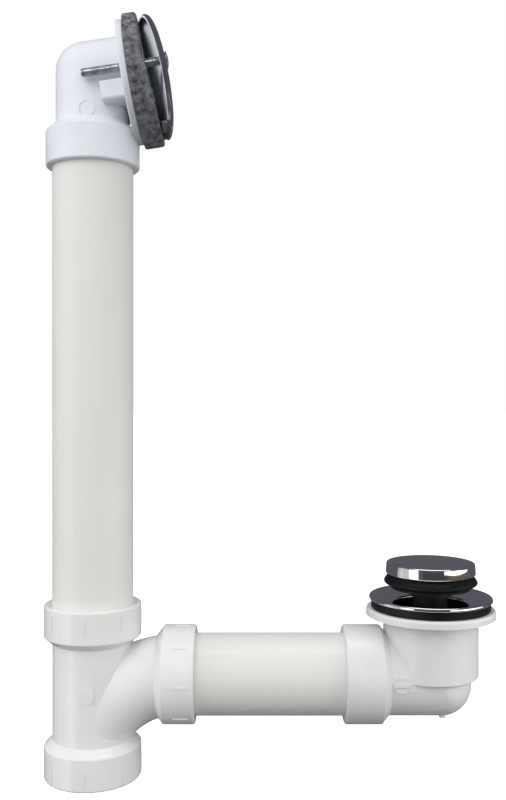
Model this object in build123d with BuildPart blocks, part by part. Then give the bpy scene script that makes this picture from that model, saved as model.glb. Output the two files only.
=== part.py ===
from build123d import *

import os
from math import asin, cos, degrees, hypot, radians, sin, sqrt, tan

# Bath waste and overflow, in millimetres.
# The origin is the centre of the tee's outlet mouth, +Z runs up the riser and +X towards the drain.

# Pipe, and the sockets that take it
pipe_od = 48.26
pipe_wall = 3.68
socket_fit = 0.07
socket_depth = 18.5
hub_wall = 4.8
hub_length = 19.0
hub_taper = 4.2
hub_rounding = 1.2
barrel_od = 48.0
barrel_wall = 3.5
rib_count = 8
rib_width = 1.0
rib_length = 9.0
rib_start = 3.5
rib_proud = 0.4
rib_root = 1.0

# Round mould marks on the fittings
mark_d = 9.3
mark_proud = 0.2
mark_root = 2.2
mark_line = 0.5
mark_bar = 1.9
mark_bar_proud = 0.8

# Tee with a swept branch
tee_height = 103.3
branch_height = 60.2
branch_reach = 62.2
branch_bend_start = 52.5
branch_bend_radius = 61.0
branch_od = 47.2
branch_wall = 3.4
tee_mark_height = 53.4

# Riser and cross tube, as far as they show between the sockets
riser_exposed = 261.5
cross_exposed = 88.8

# Overflow elbow
elbow_hub_wall = 3.7
elbow_hub_length = 20.6
elbow_shoulder = 5.4
elbow_od = 44.0
elbow_wall = 3.5
elbow_heel_radius = 18.5
elbow_rise = 53.8
overflow_tilt = 8.8
leg_reach = 20.15
flange_od = 72.6
flange_thickness = 4.0
flange_drop = 5.85
flange_rounding = 0.6
lug_length = 13.7
lug_height = 11.8
lug_drop = 10.45
lug_spread = 53.0
lug_rounding = 2.0
elbow_mark_drop = 23.9
elbow_mark_turn = 58.0

# Foam wedge behind the tub wall
foam_od = 78.8
foam_middle = 10.6
foam_wedge = 3.5
foam_rounding = 1.6
foam_hole = 40.0
foam_screw_hole = 6.2

# Domed faceplate, drawn up askew on its screws so that its far edge squeezes the foam
plate_od = 72.4
plate_depth = 4.5
plate_dome_radius = 700.0
plate_edge = 1.8
plate_sheet = 1.2
plate_gap = 0.9
plate_skew = 12.0
plate_lean = 1.3
plate_sag = 0.15
plate_seat_gap = 0.15
plate_screw_hole = 9.2
notch_width = 36.0
notch_height = 2.8
notch_reach = 7.0
tab_place = 30.5
tab_near = 15.0
tab_far = 4.0
tab_near_back = 3.6
tab_far_back = 0.3

# Faceplate screws
screw_d = 5.4
screw_spread = 54.0
screw_rise = 0.6
screw_length = 48.2
screw_thread_fit = 0.085
screw_head_d = 9.8
screw_cone = 1.2
screw_brim = 0.3
screw_crown = 0.9
screw_point = 0.6
near_screw_seat = 0.0
far_screw_seat = 1.35

# Drain shoe
shoe_hub_length = 22.0
shoe_axis_reach = 52.7
shoe_heel_radius = 19.0
shoe_height = 40.1
shoe_flange_od = 77.2
shoe_flange_thickness = 4.3
shoe_flange_rounding = 1.4
cup_wall = 4.45
cup_depth = 35.6
cup_bore_depth = 27.0
cup_rounding = 0.8
shoe_mark_x = 31.5
dash_place = 6.8
dash_drop = 2.9
dash_length = 2.6
dash_width = 0.8
gate_place = 5.5
gate_d = 4.0
gate_proud = 1.0
gate_aside = 7.5

# Washer under the tub floor, and the strainer that clamps it
washer_od = 71.0
washer_thickness = 5.2
washer_fit = 0.3
washer_seat_gap = 0.05
strainer_flange_od = 72.7
strainer_rim = 1.6
strainer_dish = 2.7
strainer_rim_width = 1.9
strainer_barrel_od = 47.4
strainer_wall = 2.7
strainer_throat_lead = 1.3
strainer_barrel_length = 29.5
strainer_thread_fit = 0.15
strainer_rim_rounding = 0.7
spoke_width = 4.0
spoke_height = 6.0
cross_hub_od = 13.0

# Stopper and its push latch
stopper_travel = 7.0
seat_clearance = 0.33
cap_od = 53.2
cap_side = 6.9
cap_crown = 1.1
cap_rounding = 1.2
cap_boss_d = 16.0
cap_boss_length = 7.9
seal_od = 55.3
seal_top_d = 49.0
seal_seat_overlap = 1.2
seal_height = 8.7
seal_bead_height = 3.6
seal_lip = 1.2
barrel_fit = 0.2
retainer_rim = 3.5
retainer_thickness = 1.2
sleeve_od = 20.4
sleeve_shoulder_d = 25.0
sleeve_shoulder = 3.0
sleeve_wall = 2.6
sleeve_lip = 3.0
thread_fit = 0.05
running_fit = 0.08
stop_gap = 0.3
post_shaft_d = 10.0
post_head_fit = 0.3
post_head = 3.7
post_hex = 13.0
post_hex_height = 4.0
post_stud_d = 7.94
post_pilot_d = 6.6
post_pilot = 5.0
rotor_height = 4.2
rotor_fit = 0.3
rotor_seat_gap = 0.3
rotor_bore = 10.6
latch_teeth = 8
tooth_size = 1.4
spring_od = 9.2
spring_wire = 0.9
spring_turns = 6
spring_pocket_d = 10.2
spring_pocket_depth = 8.0
spring_end_gap = 0.2

# Places that follow from the sizes above
socket_d = pipe_od + 2 * socket_fit
hub_od = socket_d + 2 * hub_wall
elbow_hub_od = socket_d + 2 * elbow_hub_wall
waterway = barrel_od - 2 * barrel_wall
branch_bore = branch_od - 2 * branch_wall
elbow_bore = elbow_od - 2 * elbow_wall
cup_bore = strainer_barrel_od + 2 * strainer_thread_fit
cup_od = cup_bore + 2 * cup_wall
strainer_bore = strainer_barrel_od - 2 * strainer_wall
strainer_throat = strainer_bore + 2 * strainer_throat_lead
seal_foot_d = strainer_throat + 2 * seal_seat_overlap
retainer_od = sleeve_shoulder_d + 2 * retainer_rim
sleeve_bore = sleeve_od - 2 * sleeve_wall
post_head_d = sleeve_bore - 2 * post_head_fit
elbow_mouth_z = tee_height + riser_exposed
elbow_corner_z = elbow_mouth_z + elbow_rise
shoe_mouth_x = branch_reach + cross_exposed
drain_x = shoe_mouth_x + shoe_axis_reach
shoe_top_z = branch_height + shoe_height
shoe_flange_z = shoe_top_z - shoe_flange_thickness
washer_top_z = shoe_top_z + washer_thickness
throat_z = washer_top_z + strainer_rim - strainer_dish
barrel_foot_z = washer_top_z - strainer_barrel_length

outlet_mouth = Plane.XY
riser_mouth = Plane((0, 0, tee_height), x_dir=(1, 0, 0), z_dir=(0, 0, -1))
branch_mouth = Plane((branch_reach, 0, branch_height), x_dir=(0, 0, 1), z_dir=(-1, 0, 0))
shoe_mouth = Plane((shoe_mouth_x, 0, branch_height), x_dir=(0, 0, 1), z_dir=(1, 0, 0))
elbow_mouth = Plane.XY.offset(elbow_mouth_z)

# The overflow's planes: local x runs along +Y, local y up the flange, local z out of the tub wall
leg_direction = Vector(cos(radians(overflow_tilt)), 0, sin(radians(overflow_tilt)))
leg_plane = Plane((0, 0, elbow_corner_z), x_dir=(0, 1, 0), z_dir=leg_direction)
flange_back = Plane(
    leg_plane.from_local_coords((0, -flange_drop, leg_reach)), x_dir=(0, 1, 0), z_dir=leg_direction
)
foam_back = flange_back.offset(flange_thickness)
wall_tilt = radians(overflow_tilt + foam_wedge)
wall_direction = Vector(cos(wall_tilt), 0, sin(wall_tilt))
foam_front = Plane(foam_back.offset(foam_middle).origin, x_dir=(0, 1, 0), z_dir=wall_direction)
plate_tilt = wall_tilt + radians(plate_lean)
plate_out = Vector(cos(plate_tilt), 0, sin(plate_tilt))
plate_direction = plate_out * cos(radians(plate_skew)) + Vector(0, sin(radians(plate_skew)), 0)
plate_across = Vector(0, cos(radians(plate_skew)), 0) - plate_out * sin(radians(plate_skew))


def dome_height(radius):
    """Height of the faceplate's outer surface above its rim at a radius."""
    return plate_depth - plate_dome_radius + sqrt(plate_dome_radius**2 - radius**2)


# The plate hangs with its screw holes about the screws, which stand square to the flange
hole_height = dome_height(screw_spread / 2)
plate_slip = hole_height * sin(radians(plate_skew))
plate_hang = plate_sag + hole_height * sin(radians(foam_wedge + plate_lean))
plate_rim = Plane(
    foam_back.from_local_coords((-plate_slip, screw_rise - plate_hang, foam_middle + plate_gap)),
    x_dir=plate_across,
    z_dir=plate_direction,
)


def pipe_hub(od, length, taper, neck_od):
    """Outside of a pipe socket: a rounded band from the mouth at z 0, then a taper to the neck."""
    with BuildPart() as hub:
        with BuildSketch(Plane.XZ) as profile:
            with BuildLine():
                Polyline(
                    (0, 0),
                    (od / 2, 0),
                    (od / 2, length),
                    (neck_od / 2, length + taper),
                    (0, length + taper),
                    close=True,
                )
            make_face()
            fillet(profile.vertices().group_by(Axis.X)[-1], radius=hub_rounding)
        revolve(axis=Axis.Z)
    return hub.part


def hub_ribs(od):
    """Short ribs round the band of a pipe socket whose mouth is at z 0."""
    rib_radius = (od / 2 - rib_root + od / 2 + rib_proud) / 2
    with BuildPart() as ribs:
        with BuildSketch(Plane.XY.offset(rib_start)):
            with PolarLocations(rib_radius, rib_count):
                Rectangle(rib_root + rib_proud, rib_width)
        extrude(amount=rib_length)
    return ribs.part


def camera_side(x, radius, z):
    """Plane on a fitting's -Y side, just proud of a barrel of that radius, that looks into the wall."""
    return Plane((x, -radius - mark_proud, z), x_dir=(1, 0, 0), z_dir=(0, 1, 0))


def pipe_socket():
    """Inside of a pipe socket, from its mouth at z 0 to its stop."""
    with BuildPart() as socket:
        with BuildSketch():
            Circle(socket_d / 2)
        extrude(amount=socket_depth)
    return socket.part


def mitred_bend(od, heel_radius, rise, lower_reach, leg_length):
    """Two limbs that meet on a mitre at the origin, one down -Z and one along +X at a rise.

    The outer corner is rounded about an axis that lies heel_radius inside both limbs.
    """
    radius = od / 2
    leg = Plane((0, 0, 0), x_dir=(0, 1, 0), z_dir=(cos(radians(rise)), 0, sin(radians(rise))))
    mitre = Plane((0, 0, 0), x_dir=(0, 1, 0), z_dir=leg.z_dir + Vector(0, 0, 1))
    inset = radius - heel_radius
    heel_z = inset * (1 - sin(radians(rise))) / cos(radians(rise))
    span = 3 * radius
    with BuildPart() as leg_limb:
        with BuildSketch(leg.offset(-span)):
            Circle(radius)
        extrude(amount=span + leg_length)
        split(bisect_by=mitre, keep=Keep.TOP)
    with BuildPart() as bend:
        with BuildSketch(Plane.XY.offset(-lower_reach)):
            Circle(radius)
        extrude(amount=lower_reach + span)
        split(bisect_by=mitre, keep=Keep.BOTTOM)
        add(leg_limb.part)
        with BuildSketch(Plane.XZ):
            with BuildLine():
                Polyline(
                    (-inset, heel_z),
                    (-inset - span, heel_z),
                    (-inset - span, heel_z + span),
                    (-inset - span * sin(radians(rise)), heel_z + span * cos(radians(rise))),
                    close=True,
                )
            make_face()
        extrude(amount=span, both=True, mode=Mode.SUBTRACT)
        with BuildSketch(Plane.XY.offset(heel_z)):
            Circle(radius)
            with Locations((radius - inset, 0)):
                Rectangle(2 * radius, 2 * radius, mode=Mode.SUBTRACT)
        revolve(axis=Axis((-inset, 0, heel_z), (0, 1, 0)), revolution_arc=90 - rise)
    return bend.part


def round_bend(bore, rise, lower_reach, leg_length):
    """Waterway of a bend: two round bores that meet in a ball at the origin."""
    leg = Plane((0, 0, 0), x_dir=(0, 1, 0), z_dir=(cos(radians(rise)), 0, sin(radians(rise))))
    with BuildPart() as passage:
        with BuildSketch(Plane.XY.offset(-lower_reach)):
            Circle(bore / 2)
        extrude(amount=lower_reach)
        with BuildSketch(leg):
            Circle(bore / 2)
        extrude(amount=leg_length)
        Sphere(bore / 2)
    return passage.part


def pipe(length):
    """Plain pipe along +Z from z 0."""
    with BuildPart() as tube:
        with BuildSketch():
            Circle(pipe_od / 2)
            Circle(pipe_od / 2 - pipe_wall, mode=Mode.SUBTRACT)
        extrude(amount=length)
    return tube.part


def swept_branch(d):
    """Round rod along the tee's branch: it turns down out of the branch and ends on the run's axis."""
    turn = degrees(asin(branch_bend_start / branch_bend_radius))
    bend_centre = (branch_bend_start, branch_height - branch_bend_radius)
    with BuildPart() as branch:
        with BuildLine(Plane.XZ) as path:
            CenterArc(bend_centre, branch_bend_radius, 90, turn)
        with BuildSketch(Plane(path.line @ 0, x_dir=(0, 1, 0), z_dir=path.line % 0)):
            Circle(d / 2)
        sweep(path=path.line)
    return branch.part


# Tee
with BuildPart() as waste_tee:
    with BuildSketch():
        Circle(barrel_od / 2)
    extrude(amount=tee_height)
    add(swept_branch(branch_od))
    add(pipe_hub(hub_od, hub_length, hub_taper, barrel_od).moved(outlet_mouth.location))
    add(pipe_hub(hub_od, hub_length, hub_taper, barrel_od).moved(riser_mouth.location))
    add(pipe_hub(hub_od, hub_length, hub_taper, branch_od).moved(branch_mouth.location))
    for mouth in (outlet_mouth, riser_mouth, branch_mouth):
        add(hub_ribs(hub_od).moved(mouth.location))
    with BuildSketch(camera_side(0, barrel_od / 2, tee_mark_height)):
        Circle(mark_d / 2)
    extrude(amount=mark_root)
    with BuildSketch():
        Circle(waterway / 2)
    extrude(amount=tee_height, mode=Mode.SUBTRACT)
    add(swept_branch(branch_bore), mode=Mode.SUBTRACT)
    add(pipe_socket().moved(outlet_mouth.location), mode=Mode.SUBTRACT)
    add(pipe_socket().moved(riser_mouth.location), mode=Mode.SUBTRACT)
    add(pipe_socket().moved(branch_mouth.location), mode=Mode.SUBTRACT)

# Riser and cross tube, each pushed home against the stops of its sockets
riser_foot = Plane.XY.offset(tee_height - socket_depth)
with BuildPart() as overflow_tube:
    add(pipe(riser_exposed + 2 * socket_depth).moved(riser_foot.location))

cross_foot = Plane((branch_reach - socket_depth, 0, branch_height), x_dir=(0, 0, 1), z_dir=(1, 0, 0))
with BuildPart() as waste_tube:
    add(pipe(cross_exposed + 2 * socket_depth).moved(cross_foot.location))

# Overflow elbow
elbow_corner = Plane.XY.offset(elbow_corner_z)
with BuildPart() as elbow_flange:
    with BuildSketch(flange_back):
        Circle(flange_od / 2)
    extrude(amount=flange_thickness)
    fillet(elbow_flange.edges().filter_by(GeomType.CIRCLE), radius=flange_rounding)

with BuildPart() as overflow_elbow:
    add(
        mitred_bend(elbow_od, elbow_heel_radius, overflow_tilt, elbow_rise, leg_reach).moved(
            elbow_corner.location
        )
    )
    add(pipe_hub(elbow_hub_od, elbow_hub_length, elbow_shoulder, elbow_od).moved(elbow_mouth.location))
    add(elbow_flange.part)
    with BuildSketch(flange_back.offset(-lug_length)):
        with Locations((0, -lug_drop)):
            RectangleRounded(lug_spread, lug_height, lug_rounding)
    extrude(amount=lug_length)
    with BuildSketch(camera_side(0, elbow_od / 2, elbow_corner_z - elbow_mark_drop)):
        Circle(mark_d / 2)
        Circle(mark_d / 2 - mark_line, mode=Mode.SUBTRACT)
        Rectangle(mark_d - mark_line, mark_line, rotation=elbow_mark_turn)
    extrude(amount=mark_root)
    add(
        round_bend(elbow_bore, overflow_tilt, elbow_rise, leg_reach + flange_thickness).moved(
            elbow_corner.location
        ),
        mode=Mode.SUBTRACT,
    )
    add(pipe_socket().moved(elbow_mouth.location), mode=Mode.SUBTRACT)
    with BuildSketch(flange_back):
        with Locations((0, screw_rise)):
            with GridLocations(screw_spread, 0, 2, 1):
                Circle(screw_d / 2 + screw_thread_fit)
    extrude(amount=flange_thickness, mode=Mode.SUBTRACT)

# Foam wedge: a round block cut off along the tub wall, with holes for the water and the screws
with BuildPart() as overflow_gasket:
    with BuildSketch(foam_back):
        Circle(foam_od / 2)
        with Locations((0, flange_drop)):
            Circle(foam_hole / 2, mode=Mode.SUBTRACT)
        with Locations((0, screw_rise)):
            with GridLocations(screw_spread, 0, 2, 1):
                Circle(foam_screw_hole / 2, mode=Mode.SUBTRACT)
    extrude(amount=foam_od / 2)
    split(bisect_by=foam_front, keep=Keep.BOTTOM)
    fillet(overflow_gasket.edges().group_by(SortBy.LENGTH)[-1].sort_by(Axis.X)[-1], radius=foam_rounding)
    split(bisect_by=plate_rim.offset(-plate_seat_gap), keep=Keep.BOTTOM)

# Faceplate: a shell with a turned edge, a notch in the bottom of the edge and a tab cut on the slant
plate_shoulder = plate_od / 2 - plate_edge
dome_slope = plate_shoulder / sqrt(plate_dome_radius**2 - plate_shoulder**2)


def plate_form(inset):
    """Solid under the faceplate's outer surface, drawn in by an inset."""
    crest = (0, plate_depth - inset)
    shoulder = (plate_shoulder, dome_height(plate_shoulder) - inset)
    rim = (plate_od / 2 - inset, 0)
    with BuildPart() as form:
        with BuildSketch(Plane.XZ):
            with BuildLine():
                Spline(crest, shoulder, tangents=((1, 0), (1, -dome_slope)))
                TangentArc(shoulder, rim, tangent=(1, -dome_slope))
                Polyline(rim, (0, 0), crest)
            make_face()
        revolve(axis=Axis.Z)
    return form.part


plate_skin = plate_form(0)
plate_core = plate_form(plate_sheet)
with BuildPart() as faceplate_shell:
    add(plate_skin)
    add(plate_core, mode=Mode.SUBTRACT)
    with Locations((0, -plate_od / 2, 0)):
        Box(notch_width, 2 * notch_reach, 2 * notch_height, mode=Mode.SUBTRACT)
    tab_root = dome_height(hypot(tab_near, tab_place)) - plate_sheet / 4
    with BuildSketch(Plane.XZ.offset(tab_place)):
        with BuildLine():
            Polyline(
                (-tab_near, -tab_near_back),
                (tab_far, -tab_far_back),
                (tab_far, tab_root),
                (-tab_near, tab_root),
                close=True,
            )
        make_face()
    extrude(amount=plate_sheet)
    with BuildSketch():
        with GridLocations(screw_spread, 0, 2, 1):
            Circle(plate_screw_hole / 2)
    extrude(amount=plate_depth, mode=Mode.SUBTRACT)

with BuildPart() as overflow_faceplate:
    add(faceplate_shell.part.moved(plate_rim.location))


def oval_screw():
    """Oval-head machine screw along +Z, with its tip at z 0."""
    shank = screw_d / 2
    head = screw_head_d / 2
    cone_z = screw_length
    brim_z = cone_z + screw_cone
    crown_z = brim_z + screw_brim
    with BuildPart() as screw:
        with BuildSketch(Plane.XZ):
            with BuildLine():
                Polyline(
                    (0, crown_z + screw_crown),
                    (0, 0),
                    (shank - screw_point, 0),
                    (shank, screw_point),
                    (shank, cone_z),
                    (head, brim_z),
                    (head, crown_z),
                )
                crown_radius = (head**2 + screw_crown**2) / (2 * screw_crown)
                RadiusArc((head, crown_z), (0, crown_z + screw_crown), -crown_radius)
            make_face()
        revolve(axis=Axis.Z)
    return screw.part


def screw_place(side):
    """Plane at a screw's tip, so that its head meets the skewed plate on that side (-1 near, +1 far)."""
    along = side * screw_spread / 2
    seat_out = plate_gap + hole_height - along * tan(radians(plate_skew))
    lift = near_screw_seat if side < 0 else far_screw_seat
    head_z = flange_thickness + foam_middle + seat_out + lift
    tip = flange_back.from_local_coords((along, screw_rise, head_z - screw_length))
    return Plane(tip, x_dir=(0, 1, 0), z_dir=leg_direction)


with BuildPart() as faceplate_screws:
    for side in (-1, 1):
        add(oval_screw().moved(screw_place(side).location))

# Drain shoe: level limb, bend, cup and flange
shoe_corner = Plane((drain_x, 0, branch_height), x_dir=(0, 0, 1), z_dir=(1, 0, 0))
cup_floor_z = shoe_flange_z - cup_depth
shoe_mark = camera_side(shoe_mouth_x + shoe_mark_x, barrel_od / 2, branch_height)
with BuildPart() as waste_shoe:
    with BuildSketch(Plane((drain_x, 0, cup_floor_z))):
        Circle(cup_od / 2)
    extrude(amount=cup_depth)
    fillet(waste_shoe.edges().sort_by(Axis.Z)[0], radius=cup_rounding)
    with BuildSketch(Plane((drain_x, 0, shoe_flange_z))):
        Circle(shoe_flange_od / 2)
    extrude(amount=shoe_flange_thickness)
    fillet(waste_shoe.edges().sort_by(Axis.Z)[-1], radius=shoe_flange_rounding)
    add(
        mitred_bend(barrel_od, shoe_heel_radius, 0, shoe_axis_reach, cup_depth).moved(
            shoe_corner.location
        )
    )
    add(pipe_hub(hub_od, shoe_hub_length, hub_taper, barrel_od).moved(shoe_mouth.location))
    with BuildSketch(shoe_mark):
        Circle(mark_d / 2)
        with Locations((dash_place, dash_drop)):
            Rectangle(dash_length, dash_width)
    extrude(amount=mark_root)
    with BuildSketch(shoe_mark.offset(-mark_bar_proud)):
        Rectangle(mark_d, mark_bar)
    extrude(amount=mark_bar_proud + mark_root)
    gate_foot = branch_height - sqrt((barrel_od / 2) ** 2 - gate_aside**2) - gate_proud
    with BuildSketch(Plane((drain_x + gate_place, -gate_aside, gate_foot))):
        Circle(gate_d / 2)
    extrude(amount=gate_proud + mark_root)
    add(
        round_bend(waterway, 0, shoe_axis_reach, shoe_height).moved(shoe_corner.location),
        mode=Mode.SUBTRACT,
    )
    with BuildSketch(Plane((drain_x, 0, shoe_top_z - cup_bore_depth))):
        Circle(cup_bore / 2)
    extrude(amount=cup_bore_depth, mode=Mode.SUBTRACT)
    add(pipe_socket().moved(shoe_mouth.location), mode=Mode.SUBTRACT)

# Profiles of the round drain pieces are drawn on this section and turned about the drain's axis
drain_section = Plane((drain_x, 0, 0), x_dir=(1, 0, 0), z_dir=(0, -1, 0))
drain_axis = Axis((drain_x, 0, 0), (0, 0, 1))
dish_r = strainer_flange_od / 2 - strainer_rim_width
seat_slope = strainer_dish / (dish_r - strainer_throat / 2)


def dish_foot(radius):
    """Height of the strainer flange's underside at a radius inside its flat rim."""
    return washer_top_z - (dish_r - radius) * seat_slope


# Rubber washer, pressed to the shape of the dished flange
washer_bore_r = strainer_barrel_od / 2 + washer_fit
with BuildPart() as shoe_gasket:
    with BuildSketch(drain_section):
        with BuildLine():
            Polyline(
                (washer_bore_r, shoe_top_z),
                (washer_od / 2, shoe_top_z),
                (washer_od / 2, washer_top_z),
                (dish_r, washer_top_z),
                (washer_bore_r, dish_foot(washer_bore_r) - washer_seat_gap),
                close=True,
            )
        make_face()
    revolve(axis=drain_axis)

# Strainer: dished flange, barrel and a cross that carries the stopper's post
rim_r = strainer_flange_od / 2
spoke_span = (strainer_bore + strainer_barrel_od) / 2
with BuildPart() as drain_strainer:
    with BuildSketch(drain_section) as strainer_profile:
        with BuildLine():
            Polyline(
                (strainer_bore / 2, barrel_foot_z),
                (strainer_barrel_od / 2, barrel_foot_z),
                (strainer_barrel_od / 2, dish_foot(strainer_barrel_od / 2)),
                (dish_r, washer_top_z),
                (rim_r, washer_top_z),
                (rim_r, washer_top_z + strainer_rim),
                (dish_r, washer_top_z + strainer_rim),
                (strainer_throat / 2, throat_z),
                (strainer_bore / 2, throat_z - strainer_rim),
                close=True,
            )
        make_face()
        fillet(strainer_profile.vertices().group_by(Axis.X)[-1], radius=strainer_rim_rounding)
    revolve(axis=drain_axis)
    with BuildSketch(Plane((drain_x, 0, barrel_foot_z))):
        Rectangle(spoke_span, spoke_width)
        Rectangle(spoke_width, spoke_span)
        Circle(cross_hub_od / 2)
    extrude(amount=spoke_height)
    with BuildSketch(Plane((drain_x, 0, barrel_foot_z))):
        Circle(post_stud_d / 2 + thread_fit)
    extrude(amount=spoke_height, mode=Mode.SUBTRACT)

# Stopper heights with the stopper up: the seal's foot stands one travel above the strainer's seat
seat_z = throat_z + (seal_foot_d / 2 - strainer_throat / 2) * seat_slope
seal_foot_z = seat_z + seat_clearance + stopper_travel
cap_foot_z = seal_foot_z + seal_height
boss_foot_z = cap_foot_z - cap_boss_length
shoulder_top_z = seal_foot_z - retainer_thickness
rotor_top_z = boss_foot_z - rotor_seat_gap
rotor_foot_z = rotor_top_z - rotor_height
teeth_top_z = rotor_foot_z - stopper_travel - stop_gap
post_head_z = teeth_top_z - post_head
lip_top_z = post_head_z - stop_gap
sleeve_foot_z = lip_top_z - sleeve_lip
cross_top_z = barrel_foot_z + spoke_height

# Cap with a boss that the sleeve screws onto
with BuildPart() as stopper_cap:
    with BuildSketch(drain_section) as cap_profile:
        crown_radius = ((cap_od / 2) ** 2 + cap_crown**2) / (2 * cap_crown)
        with BuildLine():
            Polyline(
                (0, cap_foot_z + cap_side + cap_crown),
                (0, boss_foot_z),
                (cap_boss_d / 2, boss_foot_z),
                (cap_boss_d / 2, cap_foot_z),
                (cap_od / 2, cap_foot_z),
                (cap_od / 2, cap_foot_z + cap_side),
            )
            RadiusArc(
                (cap_od / 2, cap_foot_z + cap_side), (0, cap_foot_z + cap_side + cap_crown), -crown_radius
            )
        make_face()
        fillet(cap_profile.vertices().group_by(Axis.X)[-1], radius=cap_rounding)
    revolve(axis=drain_axis)
    with BuildSketch(Plane((drain_x, 0, boss_foot_z))):
        Circle(spring_pocket_d / 2)
    extrude(amount=spring_pocket_depth, mode=Mode.SUBTRACT)

# Seal: a fat rubber ring, flared to a bead and drawn in to a lip at the foot
with BuildPart() as stopper_seal:
    with BuildSketch(drain_section):
        bead_z = seal_foot_z + seal_bead_height
        lip_z = seal_foot_z + seal_lip
        with BuildLine():
            Polyline(
                (seal_foot_d / 2, lip_z),
                (seal_foot_d / 2, seal_foot_z),
                (sleeve_od / 2 + barrel_fit, seal_foot_z),
                (sleeve_od / 2 + barrel_fit, cap_foot_z),
                (seal_top_d / 2, cap_foot_z),
            )
            Spline(
                (seal_top_d / 2, cap_foot_z),
                (seal_od / 2, bead_z),
                (seal_foot_d / 2, lip_z),
                tangents=[(1, -1), (-1, -0.4)],
            )
        make_face()
    revolve(axis=drain_axis)

with BuildPart() as seal_retainer:
    with BuildSketch(Plane((drain_x, 0, shoulder_top_z))):
        Circle(retainer_od / 2)
        Circle(sleeve_od / 2 + barrel_fit, mode=Mode.SUBTRACT)
    extrude(amount=retainer_thickness)

# Sleeve that hangs from the boss and runs on the post, kept by its lip under the post's head
with BuildPart() as stopper_barrel:
    with BuildSketch(drain_section):
        with BuildLine():
            Polyline(
                (post_shaft_d / 2 + running_fit, sleeve_foot_z),
                (sleeve_od / 2, sleeve_foot_z),
                (sleeve_od / 2, shoulder_top_z - sleeve_shoulder),
                (sleeve_shoulder_d / 2, shoulder_top_z - sleeve_shoulder),
                (sleeve_shoulder_d / 2, shoulder_top_z),
                (sleeve_od / 2, shoulder_top_z),
                (sleeve_od / 2, cap_foot_z),
                (cap_boss_d / 2 + thread_fit, cap_foot_z),
                (cap_boss_d / 2 + thread_fit, boss_foot_z),
                (sleeve_bore / 2, boss_foot_z),
                (sleeve_bore / 2, lip_top_z),
                (post_shaft_d / 2 + running_fit, lip_top_z),
                close=True,
            )
        make_face()
    revolve(axis=drain_axis)


def latch_notches(z):
    """V notches round the latch ring at a height, to be cut from a toothed face."""
    with BuildPart() as notches:
        with Locations((drain_x, 0, z)):
            with PolarLocations(post_head_d / 2, latch_teeth):
                Box(post_head_d / 2, tooth_size, tooth_size, rotation=(45, 0, 0))
    return notches.part


# Post: stud in the strainer's cross, hexagon, shaft, toothed head and a pilot for the spring
with BuildPart() as stopper_post:
    with BuildSketch(Plane((drain_x, 0, barrel_foot_z))):
        Circle(post_stud_d / 2)
    extrude(amount=spoke_height)
    with BuildSketch(Plane((drain_x, 0, cross_top_z))):
        RegularPolygon(post_hex / 2, 6, major_radius=False)
    extrude(amount=post_hex_height)
    with BuildSketch(Plane((drain_x, 0, cross_top_z))):
        Circle(post_shaft_d / 2)
    extrude(amount=post_head_z - cross_top_z)
    with BuildSketch(Plane((drain_x, 0, post_head_z))):
        Circle(post_head_d / 2)
    extrude(amount=post_head)
    add(latch_notches(teeth_top_z), mode=Mode.SUBTRACT)
    with BuildSketch(Plane((drain_x, 0, teeth_top_z))):
        Circle(post_pilot_d / 2)
    extrude(amount=post_pilot)

# Latch rotor, a toothed ring in the sleeve under the boss
with BuildPart() as latch_rotor:
    with BuildSketch(Plane((drain_x, 0, rotor_foot_z))):
        Circle(sleeve_bore / 2 - rotor_fit)
        Circle(rotor_bore / 2, mode=Mode.SUBTRACT)
    extrude(amount=rotor_height)
    add(latch_notches(rotor_foot_z), mode=Mode.SUBTRACT)

# Lifting spring, from the post's head to the end of the pocket in the boss
spring_r = (spring_od - spring_wire) / 2
spring_low_z = teeth_top_z + spring_end_gap + spring_wire / 2
spring_high_z = boss_foot_z + spring_pocket_depth - spring_end_gap - spring_wire / 2
with BuildPart() as latch_spring:
    with BuildLine() as coil:
        spring_height = spring_high_z - spring_low_z
        Helix(spring_height / spring_turns, spring_height, spring_r, center=(drain_x, 0, spring_low_z))
    with BuildSketch(Plane(coil.line @ 0, z_dir=coil.line % 0)):
        Circle(spring_wire / 2)
    sweep(path=coil.line, is_frenet=True)

# One file for each piece
os.makedirs("parts", exist_ok=True)
pieces = {
    "overflow_elbow": overflow_elbow,
    "overflow_gasket": overflow_gasket,
    "overflow_faceplate": overflow_faceplate,
    "faceplate_screws": faceplate_screws,
    "overflow_tube": overflow_tube,
    "waste_tee": waste_tee,
    "waste_tube": waste_tube,
    "waste_shoe": waste_shoe,
    "shoe_gasket": shoe_gasket,
    "drain_strainer": drain_strainer,
    "stopper_cap": stopper_cap,
    "stopper_seal": stopper_seal,
    "seal_retainer": seal_retainer,
    "stopper_barrel": stopper_barrel,
    "stopper_post": stopper_post,
    "latch_rotor": latch_rotor,
    "latch_spring": latch_spring,
}
for name, piece in pieces.items():
    piece.part.label = name
    export_step(piece.part, f"parts/{name}.step")
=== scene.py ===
import logging
import math
from collections.abc import Callable
from dataclasses import dataclass
from enum import Enum
from typing import Any

import bmesh
import bpy
from mathutils import Matrix, Vector, noise


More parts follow.
